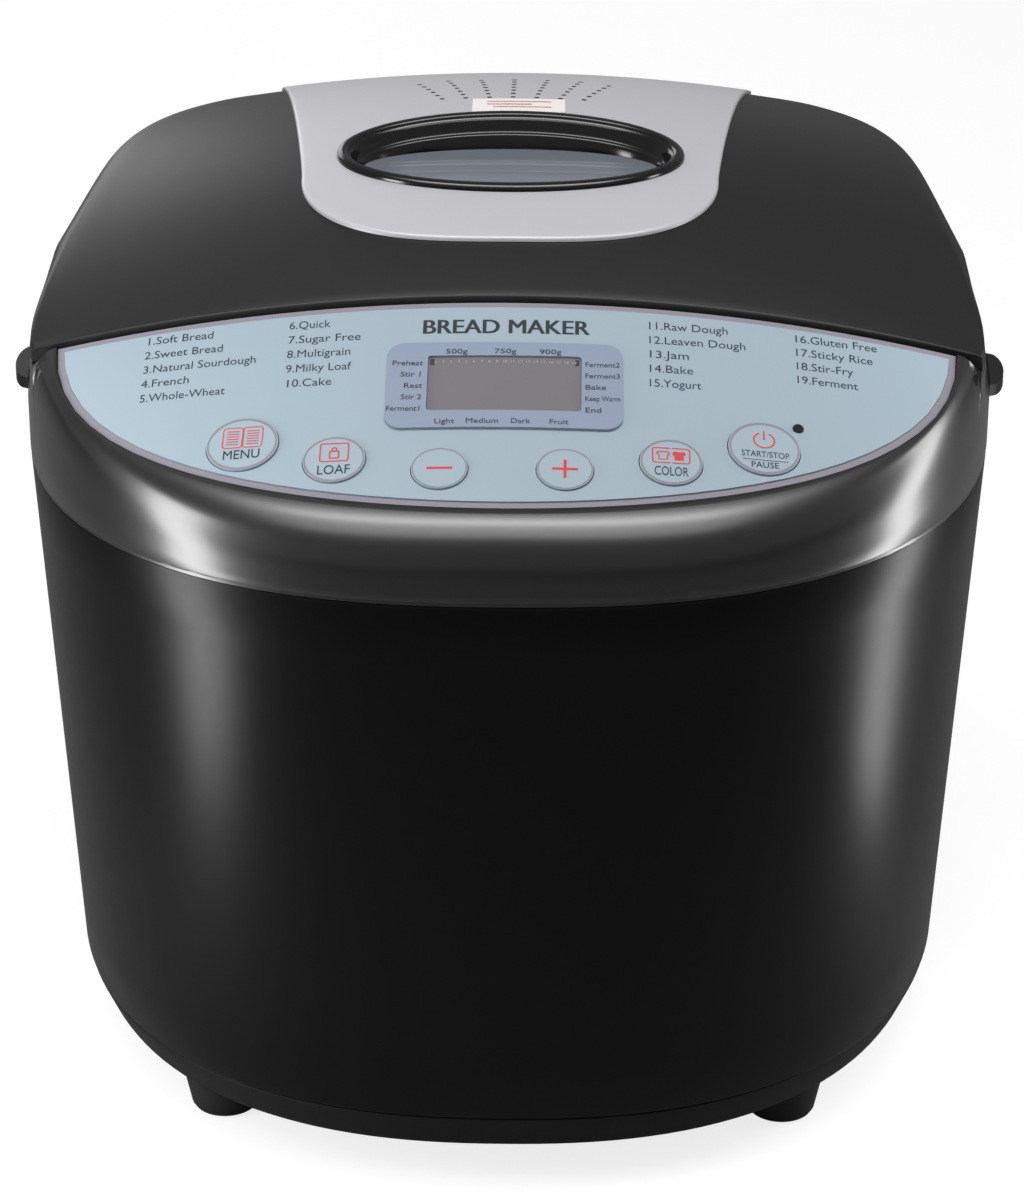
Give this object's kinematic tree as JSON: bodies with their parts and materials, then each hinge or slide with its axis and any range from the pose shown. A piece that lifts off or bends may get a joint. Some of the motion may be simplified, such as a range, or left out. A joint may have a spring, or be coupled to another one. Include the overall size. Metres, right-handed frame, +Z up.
{
  "type": "bread machine",
  "caption": "Countertop bread machine with a hinged domed lid and window, a sloped key panel with a display, and a lift-out pan with a belt-driven kneading paddle.",
  "frame": {"origin": "on the counter under the middle of the housing", "axes": "+X to the user's right, +Y to the back, +Z up; the control panel faces -Y"},
  "size_m": [0.298, 0.314, 0.2724],
  "materials": {
    "base_black": "matte moulded",
    "foot_rubber": "matte",
    "body_black": "gloss painted",
    "collar_black": "satin",
    "panel_border": "satin",
    "panel_blue": "printed film",
    "lcd_grey": "printed",
    "lcd_glass": "clear",
    "board_green": "lacquered",
    "led_red": "clear tinted",
    "oven_steel": "bare",
    "heater_steel": "heat-darkened",
    "screw_steel": "zinc-plated",
    "cast_aluminium": "as cast",
    "motor_steel": "painted",
    "winding_copper": "enamelled wire",
    "bearing_bronze": "sintered",
    "belt_rubber": "matte",
    "cream_plastic": "moulded",
    "pulley_black": "moulded",
    "lid_black": "satin",
    "silver_paint": "fine satin metallic",
    "bezel_black": "gloss",
    "window_glass": "clear",
    "label_white": "paper",
    "nonstick_grey": "non-stick coating",
    "key_blue": "printed film"
  },
  "bodies": {
    "housing": {"base_tray": "base_black", "foot_front_left": "foot_rubber", "foot_front_right": "foot_rubber", "foot_rear_left": "foot_rubber", "foot_rear_right": "foot_rubber", "body_shell": "body_black", "collar": "collar_black", "handle_left": "collar_black", "handle_right": "collar_black", "panel_plate": "panel_border", "panel_overlay": "panel_blue", "lcd_frame": "lcd_grey", "lcd_window": "lcd_glass", "lcd_module": "board_green", "led_lens": "led_red", "control_board": "board_green", "chamber": "oven_steel", "heater": "heater_steel", "pan_socket": "cast_aluminium", "sensor": "screw_steel", "thermal_fuse": "cream_plastic", "chassis_plate": "oven_steel", "chassis_screws": "screw_steel", "motor_can": "motor_steel", "motor_stator": "winding_copper", "drive_bearing": "bearing_bronze", "belt": "belt_rubber", "run_capacitor": "cream_plastic", "power_board": "board_green", "cord_gland": "base_black", "hinge_pin_left": "screw_steel", "hinge_pin_right": "screw_steel"},
    "lid": {"lid_shell": "lid_black", "lid_panel": "silver_paint", "lid_bezel": "bezel_black", "lid_glass": "window_glass", "lid_liner": "oven_steel", "liner_glass": "window_glass", "lid_label": "label_white"},
    "key_menu": {"key_menu": "key_blue"},
    "key_loaf": {"key_loaf": "key_blue"},
    "key_minus": {"key_minus": "key_blue"},
    "key_plus": {"key_plus": "key_blue"},
    "key_color": {"key_color": "key_blue"},
    "key_start": {"key_start": "key_blue"},
    "pan": {"pan": "nonstick_grey", "pan_base": "cast_aluminium"},
    "pan_handle": {"pan_handle": "screw_steel"},
    "spindle": {"pan_spindle": "screw_steel"},
    "paddle": {"paddle": "nonstick_grey"},
    "drive": {"drive_shaft": "screw_steel", "drive_pulley": "pulley_black", "drive_coupling": "cast_aluminium"},
    "rotor": {"motor_rotor": "motor_steel", "motor_pulley": "cast_aluminium"}
  },
  "joints": [
    {"name": "lid_hinge", "type": "hinge", "parent": "housing", "child": "lid", "pos_m": [0, 0.133, 0.236], "axis": [-1, 0, 0], "range_deg": [0, 95]},
    {"name": "key_menu_press", "type": "slide", "parent": "housing", "child": "key_menu", "axis": [0.1207, 0.3831, -0.9158], "range_m": [0, 0.0008], "stiffness_N_per_m": 600, "springref_m": -0.0015},
    {"name": "key_loaf_press", "type": "slide", "parent": "housing", "child": "key_loaf", "axis": [0.0774, 0.3847, -0.9198], "range_m": [0, 0.0008], "stiffness_N_per_m": 600, "springref_m": -0.0015},
    {"name": "key_minus_press", "type": "slide", "parent": "housing", "child": "key_minus", "axis": [0.0287, 0.3857, -0.9222], "range_m": [0, 0.0008], "stiffness_N_per_m": 600, "springref_m": -0.0015},
    {"name": "key_plus_press", "type": "slide", "parent": "housing", "child": "key_plus", "axis": [-0.0287, 0.3857, -0.9222], "range_m": [0, 0.0008], "stiffness_N_per_m": 600, "springref_m": -0.0015},
    {"name": "key_color_press", "type": "slide", "parent": "housing", "child": "key_color", "axis": [-0.0774, 0.3847, -0.9198], "range_m": [0, 0.0008], "stiffness_N_per_m": 600, "springref_m": -0.0015},
    {"name": "key_start_press", "type": "slide", "parent": "housing", "child": "key_start", "axis": [-0.1207, 0.3831, -0.9158], "range_m": [0, 0.0008], "stiffness_N_per_m": 600, "springref_m": -0.0015},
    {"name": "pan_lift", "type": "slide", "parent": "housing", "child": "pan", "axis": [0, 0, 1], "range_m": [0, 0.008]},
    {"name": "handle_swing", "type": "hinge", "parent": "pan", "child": "pan_handle", "pos_m": [0, 0.02, 0.198], "axis": [1, 0, 0], "range_deg": [0, 8]},
    {"name": "spindle_spin", "type": "hinge", "parent": "pan", "child": "spindle", "pos_m": [0, 0.02, 0.08], "axis": [0, 0, 1], "continuous": true},
    {"name": "paddle_lift", "type": "slide", "parent": "spindle", "child": "paddle", "axis": [0, 0, 1], "range_m": [0, 0.022]},
    {"name": "drive_spin", "type": "hinge", "parent": "housing", "child": "drive", "pos_m": [0, 0.02, 0.05], "axis": [0, 0, 1], "continuous": true},
    {"name": "motor_spin", "type": "hinge", "parent": "housing", "child": "rotor", "pos_m": [0, -0.095, 0.05], "axis": [0, 0, 1], "continuous": true}
  ],
  "couplings": [
    {"joint": "motor_spin", "follows": "drive_spin", "ratio": 6},
    {"joint": "spindle_spin", "follows": "drive_spin", "ratio": 1}
  ]
}
